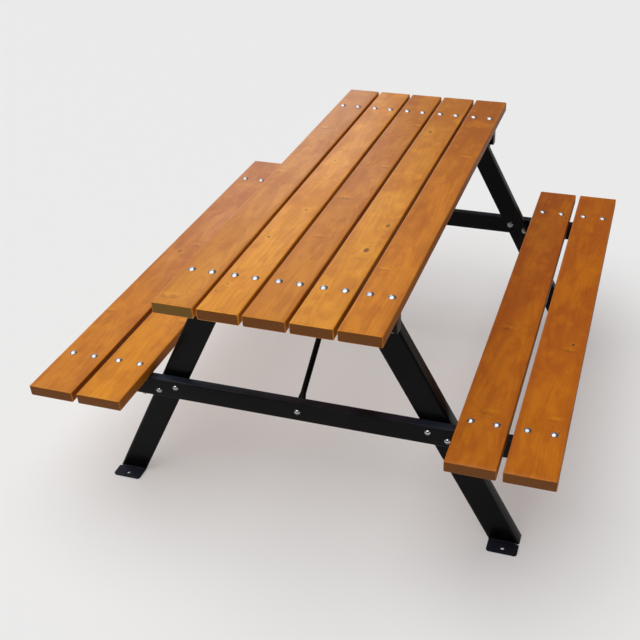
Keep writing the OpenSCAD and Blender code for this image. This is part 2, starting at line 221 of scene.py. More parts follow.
def blend(tree, factor, first, second):
    node = add_node(tree, "ShaderNodeMix", data_type="RGBA", blend_type="MIX")
    feed(tree, factor, node.inputs[0])
    feed(tree, first, node.inputs[6])
    feed(tree, second, node.inputs[7])
    return node.outputs[2]


def up_facing(tree):
    """How far the surface faces up: 1 for a level top, 0 for an upright face, -1 for an underside."""
    facing = add_node(tree, "ShaderNodeSeparateXYZ")
    tree.links.new(add_node(tree, "ShaderNodeNewGeometry").outputs["Normal"], facing.inputs[0])
    return facing.outputs[2]


def relief(tree, shader, height, distance, strength):
    node = add_node(tree, "ShaderNodeBump")
    node.inputs["Strength"].default_value = strength
    node.inputs["Distance"].default_value = distance
    feed(tree, height, node.inputs["Height"])
    tree.links.new(node.outputs["Normal"], shader.inputs["Normal"])


# ---- Stained and varnished softwood ----

def tinted(colour, red, green, blue):
    """The colour with its channels multiplied, kept within range."""
    return tuple(min(1.0, value * share) for value, share in zip(colour, (red, green, blue))) + (1,)


RINGS_PER_METRE = 190.0
PALE_FLANKED = ("top_plank_1", "top_plank_2", "top_plank_3", "top_plank_4")   # less painted shade on their flanks


def stained_wood(name, centre, half_width, seed, honey, amber, knots, heart, ring_tilt, deepening):
    """Flat-sawn board: rings about a heart line under the board, stain clouds, fibres and knots."""
    end_stain = PALE_END if name.startswith("top_plank_1") else DARK_END
    # Painted shade on the upright flanks: how far they are darkened
    flank_shade = 0.42 if name.startswith(PALE_FLANKED) else 0.74
    finish, shader, tree = new_finish(name)
    place = add_node(tree, "ShaderNodeTexCoord").outputs["Object"]
    board = vector_of(tree, "SUBTRACT", place, tuple(centre))
    drifted = vector_of(tree, "ADD", board, (seed * 3.17, seed * 1.31, seed * 2.03))
    axes = add_node(tree, "ShaderNodeSeparateXYZ")
    tree.links.new(board, axes.inputs[0])
    across, along, deep = axes.outputs

    # Distance from the heart line, wandering slowly along the board
    wander = cloud(tree, drifted, 1.0, 2.0, 0.5, (5.0, 1.3, 5.0))
    ripple = cloud(tree, drifted, 1.0, 2.0, 0.5, (30.0, 5.0, 30.0))
    wander = sum_of(tree, "MULTIPLY_ADD", wander, 0.060, -0.030)
    ripple = sum_of(tree, "MULTIPLY_ADD", ripple, 0.008, -0.004)
    side = sum_of(tree, "ADD", sum_of(tree, "SUBTRACT", across, heart[0]), wander)
    depth = sum_of(tree, "MULTIPLY_ADD", along, ring_tilt, sum_of(tree, "SUBTRACT", deep, heart[1]))
    depth = sum_of(tree, "ADD", depth, wander)
    radius = sum_of(tree, "SQRT", sum_of(tree, "ADD", sum_of(tree, "MULTIPLY", side, side),
                                         sum_of(tree, "MULTIPLY", depth, depth)))
    radius = sum_of(tree, "ADD", radius, ripple)

    # Knots push the rings aside and show a dark heart with a paler halo
    dark_knots, halo = 0.0, 0.0
    for x, y, size, darkness in knots:
        shape = (1.0 / size, 0.62 / size, 0.0) if darkness else (0.55 / size, 0.80 / size, 0.0)
        offset = vector_of(tree, "MULTIPLY", vector_of(tree, "SUBTRACT", board, (x, y, 0.0)), shape)
        wobble = cloud(tree, drifted, 140.0 if darkness else 75.0, 3.0, 0.6)
        reach = sum_of(tree, "ADD", vector_of(tree, "LENGTH", offset),
                       sum_of(tree, "MULTIPLY_ADD", wobble, 1.4, -0.7))
        near_knot = ranged(tree, reach, 4.5, 0.2)
        radius = sum_of(tree, "MULTIPLY_ADD", near_knot, size * 1.6, radius)
        if darkness == 0:
            # Grain that dips under the face shows as a pale flame beside a darker one
            split = add_node(tree, "ShaderNodeSeparateXYZ")
            tree.links.new(offset, split.inputs[0])
            slant = sum_of(tree, "MULTIPLY_ADD", wobble, 3.0, sum_of(tree, "ADD", split.outputs[1], -1.5))
            blot = ranged(tree, reach, 1.7, 0.3)
            pale = sum_of(tree, "MULTIPLY", blot, ranged(tree, slant, -0.1, 0.5))
            halo = sum_of(tree, "MAXIMUM", halo, pale)
            shade = sum_of(tree, "MULTIPLY", blot, ranged(tree, slant, -0.1, -0.5, 0.0, 0.30))
            dark_knots = sum_of(tree, "MAXIMUM", dark_knots, shade)
        else:
            halo = sum_of(tree, "MAXIMUM", halo, ranged(tree, reach, 3.4, 0.9, 0.0, 0.35))
            heartwood = ranged(tree, reach, 1.05, 0.62, 0.0, darkness)
            dark_knots = sum_of(tree, "MAXIMUM", dark_knots, heartwood)

    ring = sum_of(tree, "FRACT", sum_of(tree, "MULTIPLY", radius, RINGS_PER_METRE))
    late = sum_of(tree, "MULTIPLY", ranged(tree, ring, 0.35, 0.88), ranged(tree, ring, 1.0, 0.92))
    fibres = cloud(tree, drifted, 1.0, 4.0, 0.65, (520.0, 9.0, 520.0))
    streaks = cloud(tree, drifted, 1.0, 3.0, 0.55, (70.0, 2.6, 70.0))
    clouds = cloud(tree, drifted, 1.0, 3.0, 0.55, (13.0, 4.2, 13.0))
    figure = cloud(tree, drifted, 1.0, 3.0, 0.6, (17.0, 15.0, 17.0))
    mottle = cloud(tree, drifted, 1.0, 2.0, 0.5, (34.0, 11.0, 34.0))

    tone = blend(tree, ranged(tree, clouds, 0.42, 0.58), honey, amber)
    tone = blend(tree, ranged(tree, along, -0.1, 0.8, 0.0, deepening * 1.6), tone,
                 tinted(amber, 0.62, 0.50, 0.8))
    tone = blend(tree, ranged(tree, along, 0.0, -0.75, 0.0, 0.42), tone,
                 tinted(honey, 1.20, 1.28, 1.3))
    tone = blend(tree, ranged(tree, streaks, 0.45, 0.80, 0.0, 0.26), tone,
                 tinted(amber, 0.72, 0.62, 0.55))
    tone = blend(tree, ranged(tree, mottle, 0.47, 0.62, 0.0, 0.36), tone,
                 tinted(amber, 0.80, 0.66, 0.7))
    tone = blend(tree, ranged(tree, figure, 0.50, 0.66, 0.0, 0.34), tone,
                 tinted(honey, 1.20, 1.26, 1.2))
    tone = blend(tree, sum_of(tree, "MULTIPLY", late, 0.17), tone,
                 tinted(amber, 0.60, 0.46, 0.42))
    tone = blend(tree, ranged(tree, fibres, 0.56, 0.85, 0.0, 0.20), tone,
                 tinted(amber, 0.50, 0.40, 0.40))
    tone = blend(tree, sum_of(tree, "MULTIPLY", halo, 0.80), tone,
                 tinted(honey, 1.18, 1.42, 1.2))
    tone = blend(tree, dark_knots, tone, (0.110, 0.030, 0.008, 1))

    # Stain gathers along the edges of the face; the upright flanks are rougher, and darkened by their
    # facing as painted shade
    rim = sum_of(tree, "ABSOLUTE", across)
    rim = sum_of(tree, "MULTIPLY", ranged(tree, rim, half_width - 0.022, half_width, 0.0, 0.55),
                 ranged(tree, cloud(tree, drifted, 1.0, 3.0, 0.5, (9.0, 5.0, 9.0)), 0.35, 0.62, 0.25, 1.0))
    tone = blend(tree, rim, tone, tinted(amber, 0.68, 0.50, 0.8))
    flank = ranged(tree, sum_of(tree, "ABSOLUTE", up_facing(tree)), 0.75, 0.25)
    # Painted shade: upright flanks darkened towards deep brown by their facing
    tone = blend(tree, sum_of(tree, "MULTIPLY", flank, flank_shade), tone,
                 tinted(amber, 0.34, 0.26, 0.4))

    # End grain drinks more stain; eased edges carry less stain and a painted highlight
    ends = add_node(tree, "ShaderNodeAttribute", attribute_name="end_grain").outputs["Fac"]
    end_tone = blend(tree, sum_of(tree, "MULTIPLY", late, 0.42), end_stain,
                     tinted(end_stain, 0.58, 0.52, 0.5))
    pores = cloud(tree, drifted, 700.0, 2.0)
    end_tone = blend(tree, ranged(tree, pores, 0.5, 0.8, 0.0, 0.35), end_tone,
                     tinted(end_stain, 0.4, 0.35, 0.4))
    tone = blend(tree, ends, tone, end_tone)
    arris = add_node(tree, "ShaderNodeAttribute", attribute_name="arris").outputs["Fac"]
    # Partly thinner stain, partly painted highlight: eased edges lightened towards a pale bluish cream
    rubbed_and_highlight = sum_of(tree, "MULTIPLY", arris, ranged(tree, streaks, 0.40, 0.62, 0.18, 0.55))
    tone = blend(tree, rubbed_and_highlight, tone, tinted(honey, 1.15, 1.2, 1.4))
    tree.links.new(tone, shader.inputs["Base Color"])

    rough = sum_of(tree, "MULTIPLY_ADD", fibres, 0.16, 0.27)
    rough = sum_of(tree, "MULTIPLY_ADD", sum_of(tree, "MAXIMUM", ends, flank), 0.26, rough)
    rough = sum_of(tree, "MULTIPLY_ADD", ranged(tree, clouds, 0.3, 0.7), 0.06, rough)
    tree.links.new(rough, shader.inputs["Roughness"])
    shader.inputs["Specular IOR Level"].default_value = 0.20
    shader.inputs["Coat Weight"].default_value = 0.08
    shader.inputs["Coat Roughness"].default_value = 0.20

    grain = sum_of(tree, "MULTIPLY_ADD", fibres, 0.55, sum_of(tree, "MULTIPLY", late, 0.35))
    grain = sum_of(tree, "MULTIPLY_ADD", dark_knots, -0.8, grain)
    grain = sum_of(tree, "MULTIPLY_ADD", cloud(tree, drifted, 160.0, 2.0), 0.25, grain)
    relief(tree, shader, grain, distance=0.00035, strength=0.55)
    return finish


# ---- Steel, plastic and fasteners ----

def powder_coat(name, seed):
    """Gloss black powder coat: orange peel, faint dusty mottling, a painted bluish sheen on upward faces
    and thinner coat along the edges.
    """
    finish, shader, tree = new_finish(name)
    place = add_node(tree, "ShaderNodeTexCoord").outputs["Object"]
    place = vector_of(tree, "ADD", place, (seed * 1.7, seed * 2.9, seed * 0.8))
    peel = cloud(tree, place, 260.0, 2.0, 0.4)
    fine = cloud(tree, place, 1300.0, 2.0, 0.5)
    dust_and_sheen = cloud(tree, place, 7.0, 4.0, 0.6)
    specks = cloud(tree, place, 420.0, 1.0, 0.5)
    tone = blend(tree, ranged(tree, dust_and_sheen, 0.42, 0.75), (0.0022, 0.0022, 0.0024, 1),
                 (0.0048, 0.0048, 0.0053, 1))
    tone = blend(tree, ranged(tree, specks, 0.72, 0.80, 0.0, 0.5), tone, (0.045, 0.044, 0.042, 1))
    # Painted sheen: upward faces are tinted bluish grey, as if reflecting the room, and the dusty cloud
    # varies its strength
    painted_top_sheen = sum_of(tree, "MULTIPLY", ranged(tree, up_facing(tree), 0.55, 0.95),
                     ranged(tree, dust_and_sheen, 0.30, 0.62, 0.35, 1.0))
    tone = blend(tree, painted_top_sheen, tone, (0.020, 0.023, 0.036, 1))
    edge = add_node(tree, "ShaderNodeAttribute", attribute_name="arris").outputs["Fac"]
    worn = sum_of(tree, "MULTIPLY", edge, ranged(tree, dust_and_sheen, 0.45, 0.65, 0.15, 0.9))
    tone = blend(tree, worn, tone, (0.030, 0.030, 0.031, 1))
    tree.links.new(tone, shader.inputs["Base Color"])
    rough = sum_of(tree, "MULTIPLY_ADD", ranged(tree, dust_and_sheen, 0.35, 0.75), 0.14, 0.25)
    rough = sum_of(tree, "MULTIPLY_ADD", fine, 0.05, rough)
    tree.links.new(rough, shader.inputs["Roughness"])
    shader.inputs["Specular IOR Level"].default_value = 0.065
    shader.inputs["Coat Weight"].default_value = 0.04
    shader.inputs["Coat Roughness"].default_value = 0.14
    height = sum_of(tree, "MULTIPLY_ADD", fine, 0.25, peel)
    relief(tree, shader, height, distance=0.00025, strength=0.45)
    return finish


def moulded_plastic(name):
    finish, shader, tree = new_finish(name)
    place = add_node(tree, "ShaderNodeTexCoord").outputs["Object"]
    spark = cloud(tree, place, 1500.0, 2.0, 0.6)
    scuffs = cloud(tree, place, 60.0, 4.0, 0.6, (1.0, 3.0, 0.4))
    tone = blend(tree, ranged(tree, scuffs, 0.5, 0.75), (0.014, 0.014, 0.015, 1), (0.030, 0.030, 0.030, 1))
    tree.links.new(tone, shader.inputs["Base Color"])
    tree.links.new(sum_of(tree, "MULTIPLY_ADD", scuffs, 0.2, 0.36), shader.inputs["Roughness"])
    relief(tree, shader, spark, distance=0.0002, strength=0.5)
    return finish


def polished_steel(name, grey, low_roughness, scratch, underside_shade):
    finish, shader, tree = new_finish(name)
    place = add_node(tree, "ShaderNodeTexCoord").outputs["Object"]
    swirls = cloud(tree, place, 900.0, 3.0, 0.6, (1.0, 1.0, 0.25))
    smudge = cloud(tree, place, 110.0, 3.0, 0.6)
    tone = blend(tree, ranged(tree, smudge, 0.4, 0.7), (grey * 0.96, grey, grey * 1.05, 1),
                 (grey * 0.74, grey * 0.77, grey * 0.82, 1))
    # Painted shade: faces turned downwards are darkened towards brown-grey, standing in for a dark
    # reflection under each head and nut
    shaded = ranged(tree, up_facing(tree), 0.35, -0.25, 0.0, underside_shade)
    tone = blend(tree, shaded, tone, (0.050, 0.043, 0.036, 1))
    tree.links.new(tone, shader.inputs["Base Color"])
    shader.inputs["Metallic"].default_value = 1.0
    rough = sum_of(tree, "MULTIPLY_ADD", swirls, scratch, low_roughness)
    rough = sum_of(tree, "MULTIPLY_ADD", ranged(tree, smudge, 0.35, 0.7), 0.10, rough)
    tree.links.new(rough, shader.inputs["Roughness"])
    relief(tree, shader, swirls, distance=0.00008, strength=0.35)
    return finish


# ---- Mesh helpers ----

def finished_piece(name, mesh, node, finish, smooth_angle):
    piece = new_object(name, mesh)
    mesh.materials.append(finish)
    smooth_by_angle(mesh, smooth_angle)
    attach(piece, "root")
    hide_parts(node)
    return piece


def smooth_by_angle(mesh, degrees):
    """Smooth shading, with sharp edges where faces meet at more than the angle."""
    mesh.shade_smooth()
    work = bmesh.new()
    work.from_mesh(mesh)
    limit = math.radians(degrees)
    for edge in work.edges:
        edge.smooth = len(edge.link_faces) == 2 and edge.calc_face_angle(0.0) < limit
    work.to_mesh(mesh)
    work.free()


def as_mesh(work, name):
    mesh = bpy.data.meshes.new(name)
    work.to_mesh(mesh)
    work.free()
    return mesh


def join_rows(work, rows):
    """Quads between neighbours in a list of closed rows of vertices."""
    for first, second in zip(rows, rows[1:]):
        for k in range(len(first)):
            n = (k + 1) % len(first)
            work.faces.new((first[k], first[n], second[n], second[k]))


def mesh_from_rings(name, rings, closed_ends, marks):
    """Skins closed rings of equal length; marks holds an arris value for each ring point."""
    work = bmesh.new()
    arris = work.verts.layers.float.new("arris")
    end_layer = work.faces.layers.float.new("end_grain")
    skins = []
    for index, ring in enumerate(rings):
        skin = [work.verts.new(point) for point in ring]
        for k, vert in enumerate(skin):
            vert[arris] = marks[index][k]
        skins.append(skin)
    join_rows(work, skins)
    if closed_ends:
        for skin in (skins[0], skins[-1]):
            cap = work.faces.new(skin)
            cap[end_layer] = 1.0
    bmesh.ops.recalc_face_normals(work, faces=work.faces)
    return as_mesh(work, name)


def rounded_outline(half_x, half_z, radii, arc=6, top_points=0):
    """Outline of a rectangle with its own radius at each corner, and which points are on an arc."""
    points, on_arc = [], []
    corners = ((1, -1, -90), (1, 1, 0), (-1, 1, 90), (-1, -1, 180))
    for (sx, sz, start), radius in zip(corners, radii):
        for k in range(arc + 1):
            angle = math.radians(start + 90.0 * k / arc)
            points.append((sx * (half_x - radius) + radius * math.cos(angle),
                           sz * (half_z - radius) + radius * math.sin(angle)))
            on_arc.append(1.0 if 0 < k < arc else 0.35)
        if top_points and sx * sz > 0:
            x0, z0 = points[-1]
            x1 = -x0
            for k in range(1, top_points + 1):
                points.append((x0 + (x1 - x0) * k / (top_points + 1), z0))
                on_arc.append(0.0)
    return points, on_arc


# ---- Planks ----

def plank(node, seed, wood):
    """A planed board with eased edges whose radius varies a little along its length."""
    low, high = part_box(node)
    centre = (low + high) / 2
    half = (high - low) / 2
    ends = [END_EASE * share for share in (0.0, 0.075, 0.28, 0.56, 1.0)]
    stations = [(-half.y + d, END_EASE - math.sqrt(max(0.0, END_EASE ** 2 - (END_EASE - d) ** 2)))
                for d in ends]
    inner = half.y - END_EASE
    stations += [(-inner + 2 * inner * k / BOARD_STEPS, 0.0) for k in range(1, BOARD_STEPS)]
    stations += [(-y, inset) for y, inset in reversed(stations[:len(ends)])]
    rings, marks = [], []
    for y, inset in stations:
        radii = []
        for corner in range(4):
            ease = noise.noise(Vector((y * 9.0, corner * 3.7, seed * 5.1)))
            fine = noise.noise(Vector((y * 60.0, corner * 1.9, seed * 2.3)))
            radii.append(max(0.0022, EDGE_RADIUS - inset + 0.0007 * ease + 0.00025 * fine))
        outline, on_arc = rounded_outline(half.x - inset, half.z - inset, radii, 6, 9)
        ring = []
        for x, z in outline:
            sink = 0.0
            if abs(z) > half.z - inset - 1e-6:
                sink = 0.00018 * (0.5 + 0.5 * noise.noise(Vector((x * 16.0, y * 3.5, seed + (z > 0)))))
            ring.append((centre.x + x, centre.y + y, centre.z + z - math.copysign(sink, z)))
        rings.append(ring)
        # Arris marks: arc points of the long edges, and 1.6 on the eased end rings for a stronger painted
        # highlight along the ends
        if inset > END_EASE - 1e-9:
            marks.append([0.0] * len(ring))
        else:
            marks.append([1.6] * len(ring) if inset > 0 else on_arc)
    mesh = mesh_from_rings(node + "_board", rings, True, marks)
    return finished_piece(node + "_board", mesh, node, wood, 32)


PALE_END = (0.215, 0.108, 0.010, 1)
DARK_END = (0.205, 0.062, 0.002, 1)

# name: seed, honey tone, amber tone, knots (x, y, size, darkness) and heart in millimetres, ring tilt,
# and how much deeper the stain gets towards the far end; darkness 0 stands for a pale flame
PLANKS = {
    "top_plank_1": (1, (0.645, 0.240, 0.0230, 1), (0.555, 0.186, 0.0150, 1),
                    ((-36, 18, 9, 0), (-25, 390, 8, 0), (-23, -735, 11, 0)), (12, -70), 0.020, 0.20),
    "top_plank_2": (2, (0.770, 0.300, 0.0225, 1), (0.660, 0.232, 0.0140, 1),
                    ((-24, -392, 4.2, 0.8), (-28, -649, 3.2, 0.6), (-42, -686, 3.2, 0.7),
                     (18, -214, 5.5, 0.45), (-16, 136, 5, 0.4)), (-20, -95), -0.014, 0.26),
    "top_plank_3": (3, (0.605, 0.213, 0.0155, 1), (0.513, 0.161, 0.0095, 1),
                    ((-20, -110, 10, 0), (46, 481, 9, 0), (34, 128, 8, 0), (-15, -354, 8, 0)),
                    (8, -58), 0.026, 0.14),
    "top_plank_4": (4, (0.720, 0.285, 0.0214, 1), (0.610, 0.210, 0.0125, 1),
                    ((16, -396, 8, 0.80), (32, -249, 7.5, 0.60), (-23, 439, 7, 0.6)),
                    (25, -80), -0.020, 0.46),
    "top_plank_5": (5, (0.620, 0.205, 0.0107, 1), (0.510, 0.155, 0.0059, 1),
                    ((20, 260, 8, 0), (-30, -480, 8, 0)), (-15, -66), 0.018, 0.50),
    "left_bench_outer_plank": (6, (0.605, 0.209, 0.0155, 1), (0.513, 0.157, 0.0095, 1),
                               ((-13, 14, 7, 0.5), (26, 68, 9, 0), (-53, -381, 10, 0)),
                               (-10, -75), 0.022, 0.18),
    "left_bench_inner_plank": (7, (0.665, 0.240, 0.0095, 1), (0.575, 0.193, 0.0070, 1),
                               ((55, -382, 10, 0), (-20, 300, 6, 0.4)), (18, -62), -0.018, 0.1),
    "right_bench_inner_plank": (8, (0.500, 0.142, 0.0022, 1), (0.405, 0.096, 0.0016, 1),
                                ((-19, -164, 10, 0), (53, 584, 5.5, 0.7), (6, -563, 10, 0)),
                                (5, -85), 0.016, 0.22),
    "right_bench_outer_plank": (9, (0.500, 0.142, 0.0020, 1), (0.425, 0.104, 0.0015, 1),
                                ((30, -202, 5.0, 0.85), (22, -232, 9, 0), (43, -600, 3, 0.6),
                                 (27, -551, 9, 0)),
                                (-22, -70), -0.022, 0.15),
}


def lay_planks():
    for node, (seed, honey, amber, knots, heart, tilt, deepening) in PLANKS.items():
        low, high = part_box(node)
        wood = stained_wood(node + "_stain", (low + high) / 2, (high.x - low.x) / 2, seed, honey, amber,
                            [(x / 1000, y / 1000, size / 1000, dark) for x, y, size, dark in knots],
                            (heart[0] / 1000, heart[1] / 1000), tilt, deepening)
        plank(node, seed, wood)


# ---- Legs ----

def leg_piece(node, coat):
    """Bent angle: web with a bend and a foot tab, and a flange joined by a rolled corner."""
    low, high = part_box(node)
    side = 1 if low.x + high.x > 0 else -1
    end = 1 if low.y + high.y > 0 else -1
    outer_foot = max(abs(low.x), abs(high.x))
    inner_top = min(abs(low.x), abs(high.x))
    front = max(abs(low.y), abs(high.y))
    face = front - FOOT_LENGTH
    top = high.z
    # Solve the lean from the leg's width and its two corners
    slope = 0.5
    for _ in range(40):
        slope = (outer_foot - LEG_WIDTH * math.sqrt(1 + slope * slope) - inner_top) / top
    level = math.sqrt(1 + slope * slope)
    inner_foot = outer_foot - LEG_WIDTH * level

    def place(x, y, z):
        return Vector((side * x, end * y, z))

    work = bmesh.new()
    arris = work.verts.layers.float.new("arris")
    strip_of_web(work, arris, place, slope, level, outer_foot, inner_foot, face, front, top)
    bmesh.ops.recalc_face_normals(work, faces=work.faces)
    strip = as_mesh(work, node + "_strip")

    work = bmesh.new()
    arris = work.verts.layers.float.new("arris")
    flange_and_corner(work, arris, place, slope, level, outer_foot, face, top)
    bmesh.ops.recalc_face_normals(work, faces=work.faces)
    flange = as_mesh(work, node + "_flange")
    hole = place((outer_foot + inner_foot) / 2, front - ANCHOR_INSET, STEEL / 2)
    mesh = joined_and_drilled(strip, flange, hole)
    mesh.name = node + "_bent_angle"
    return finished_piece(node + "_bent_angle", mesh, node, coat, 30)


def strip_of_web(work, arris, place, slope, level, outer_foot, inner_foot, face, front, top):
    """Skin of the web, its bend and the tab, station by station, with eased side edges."""
    ease = STEEL_EASE
    bend_top = STEEL + FOOT_BEND
    start = face + FOOT_BEND
    stations = []           # outer point and inner point of the skin, each as (y, z)
    for z in (top, top - 0.0006, 0.55, 0.4, 0.25, 0.12, 0.05, bend_top + 0.004, bend_top):
        stations.append(((face, z), (face - STEEL, z)))
    for k in range(1, 11):
        angle = math.radians(9.0 * k)
        stations.append(((start - FOOT_BEND * math.cos(angle), bend_top - FOOT_BEND * math.sin(angle)),
                         (start - (FOOT_BEND + STEEL) * math.cos(angle),
                          bend_top - (FOOT_BEND + STEEL) * math.sin(angle))))
    tab = [start + 0.002, start + 0.010, start + 0.020, front - FOOT_CORNER]
    tab += [front - FOOT_CORNER * (1 - math.sin(math.radians(10.0 * k))) for k in range(1, 10)]
    for y in tab:
        stations.append(((y, STEEL), (y, 0.0)))
    rings = []
    for (outer, inner) in stations:
        y = (outer[0] + inner[0]) / 2
        z = (outer[1] + inner[1]) / 2
        cut = 0.0
        if y > front - FOOT_CORNER:
            d = min(1.0, (y - (front - FOOT_CORNER)) / FOOT_CORNER)
            cut = FOOT_CORNER * (1 - math.sqrt(max(0.0, 1 - d * d)))
        x_in = inner_foot - slope * z + cut
        x_flat = outer_foot - slope * z - ROLLED_CORNER * level
        x_out = (outer_foot - cut) if y >= start + 0.0015 else x_flat
        ring, steps = [], 6
        def along(t, x):
            return place(x, outer[0] + (inner[0] - outer[0]) * t, outer[1] + (inner[1] - outer[1]) * t)
        wide = x_out > x_flat + 1e-5
        e_t = ease / STEEL
        ring.append((along(0.0, x_in + ease), 0.0))
        for k in range(1, steps):
            ring.append((along(0.0, x_in + (x_out - x_in) * k / steps), 0.0))
        out_ease = ease if wide else 0.0
        out_t = e_t if wide else 0.0
        ring.append((along(0.0, x_out - out_ease), 0.0))
        ring.append((along(out_t * 0.3, x_out - out_ease * 0.3), 1.0 if wide else 0.0))
        ring.append((along(out_t, x_out), 0.0))
        ring.append((along(1 - out_t, x_out), 0.0))
        ring.append((along(1 - out_t * 0.3, x_out - out_ease * 0.3), 1.0 if wide else 0.0))
        ring.append((along(1.0, x_out - out_ease), 0.0))
        for k in range(steps - 1, 0, -1):
            ring.append((along(1.0, x_in + (x_out - x_in) * k / steps), 0.0))
        ring.append((along(1.0, x_in + ease), 0.0))
        ring.append((along(1 - e_t * 0.3, x_in + ease * 0.3), 1.0))
        ring.append((along(1 - e_t, x_in), 0.0))
        ring.append((along(e_t, x_in), 0.0))
        ring.append((along(e_t * 0.3, x_in + ease * 0.3), 1.0))
        rings.append(ring)
    skin(work, arris, rings)


def flange_and_corner(work, arris, place, slope, level, outer_foot, face, top):
    """The flange and the rolled corner as one leaning bar of constant section."""
    ease = STEEL_EASE
    section = [(ROLLED_CORNER, STEEL, 0), (ROLLED_CORNER, 0.0, 0)]
    for k in range(1, 10):
        angle = math.radians(10.0 * k)
        section.append((ROLLED_CORNER - ROLLED_CORNER * math.sin(angle),
                        ROLLED_CORNER - ROLLED_CORNER * math.cos(angle), 0.5))
    section += [(0.0, FLANGE / 2, 0), (0.0, FLANGE - ease, 0), (ease * 0.3, FLANGE - ease * 0.3, 1),
                (ease, FLANGE, 0), (STEEL - ease, FLANGE, 0),
                (STEEL - ease * 0.3, FLANGE - ease * 0.3, 1), (STEEL, FLANGE - ease, 0),
                (STEEL, FLANGE / 2, 0)]
    inside = ROLLED_CORNER - STEEL
    for k in range(9, 0, -1):
        angle = math.radians(10.0 * k)
        section.append((ROLLED_CORNER - inside * math.sin(angle),
                        ROLLED_CORNER - inside * math.cos(angle), 0))
    rings = []
    for z in (0.0, 0.0006, 0.12, 0.25, 0.4, 0.55, top - 0.0006, top):
        rings.append([(place(outer_foot - slope * z - a * level, face - b, z), mark)
                      for a, b, mark in section])
    skin(work, arris, rings)


def skin(work, arris, rings):
    """Skins rings of (point, arris value) and closes both ends."""
    skins = []
    for ring in rings:
        row = []
        for point, mark in ring:
            vert = work.verts.new(point)
            vert[arris] = mark
            row.append(vert)
        skins.append(row)
    join_rows(work, skins)
    work.faces.new(skins[0])
    work.faces.new(skins[-1])


def joined_and_drilled(strip, flange, middle):
    """Web and flange as one skin, with the anchor hole through the foot tab."""
    work = bmesh.new()
    bmesh.ops.create_cone(work, segments=40, radius1=ANCHOR_HOLE / 2, radius2=ANCHOR_HOLE / 2,
                          depth=STEEL * 4, cap_ends=True, matrix=Matrix.Translation(middle))
    bit = new_object("drill", as_mesh(work, "drill"))
    side = new_object("flange", flange)
    blank = new_object("blank", strip)
    for name, operation, other in (("weld", "UNION", side), ("anchor_hole", "DIFFERENCE", bit)):
        step = blank.modifiers.new(name, "BOOLEAN")
        step.operation, step.object, step.solver = operation, other, "EXACT"
    graph = bpy.context.evaluated_depsgraph_get()
    done = bpy.data.meshes.new_from_object(blank.evaluated_get(graph), preserve_all_data_layers=True,
                                           depsgraph=graph)
    for item in (bit, side, blank):
        bpy.data.objects.remove(item)
    work = bmesh.new()
    work.from_mesh(done)
    bmesh.ops.remove_doubles(work, verts=work.verts, dist=3e-6)
    bmesh.ops.dissolve_degenerate(work, dist=3e-6, edges=work.edges)
    work.to_mesh(done)
    work.free()
    return done


# ---- Tubes, caps and braces ----

def tube_piece(node, coat):
    """Open rectangular tube with its hollow; its caps are pieces of their own."""
    low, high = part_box(node)
    centre, half = (low + high) / 2, (high - low) / 2
    inner_radius = TUBE_CORNER - TUBE_WALL
    rings, marks = [], []
    hollow, _ = rounded_outline(half.y - TUBE_WALL, half.z - TUBE_WALL, [inner_radius] * 4, 8)
    solid, on_arc = rounded_outline(half.y, half.z, [TUBE_CORNER] * 4, 8)
    worn = [0.4 if value > 0.5 else 0.0 for value in on_arc]
    stops = [-half.x + 2 * half.x * k / 24 for k in range(25)]
    for x in stops:
        rings.append([(centre.x + x, centre.y + y, centre.z + z) for y, z in solid])
        marks.append(worn)
    for x in reversed(stops):
        rings.append([(centre.x + x, centre.y + y, centre.z + z) for y, z in hollow])
        marks.append([0.0] * len(hollow))
    rings.append(rings[0])
    marks.append(marks[0])
    mesh = mesh_from_rings(node + "_tube", rings, False, marks)
    work = bmesh.new()
    work.from_mesh(mesh)
    bmesh.ops.remove_doubles(work, verts=work.verts, dist=1e-6)
    bmesh.ops.recalc_face_normals(work, faces=work.faces)
    work.to_mesh(mesh)
    work.free()
    return finished_piece(node + "_tube", mesh, node, coat, 30)


def cap_piece(node, plastic):
    """The two end caps of a tube: a slightly crowned plate with an eased rim."""
    low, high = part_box(node)
    centre, half = (low + high) / 2, (high - low) / 2
    work = bmesh.new()
    for side in (-1, 1):
        rings = []
        for depth, inset in ((CAP_PLATE, 0.0), (0.0012, 0.0), (0.0007, 0.00015), (0.0003, 0.00050),
                             (0.0001, 0.0010), (0.0, 0.0018)):
            outline, _ = rounded_outline(half.y - inset, half.z - inset, [TUBE_CORNER - inset] * 4, 8)
            rings.append([Vector((centre.x + side * (half.x - depth), centre.y + y, centre.z + z))
                          for y, z in outline])
        rows = [[work.verts.new(point) for point in ring] for ring in rings]
        join_rows(work, rows)
        work.faces.new(rows[0])
        work.faces.new(rows[-1])
    bmesh.ops.recalc_face_normals(work, faces=work.faces)
    mesh = as_mesh(work, node + "_moulding")
    return finished_piece(node + "_moulding", mesh, node, plastic, 35)


def brace_piece(node, coat):
    """The brace keeps its shape; its loose triangles are merged and its skin is smoothed."""
    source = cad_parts[node].data.copy()
    source.materials.clear()
    work = bmesh.new()
    work.from_mesh(source)
    bmesh.ops.remove_doubles(work, verts=work.verts, dist=1e-6)
    work.verts.layers.float.new("arris")
    work.to_mesh(source)
    work.free()
    return finished_piece(node + "_bar", source, node, coat, 38)


# ---- Fasteners ----

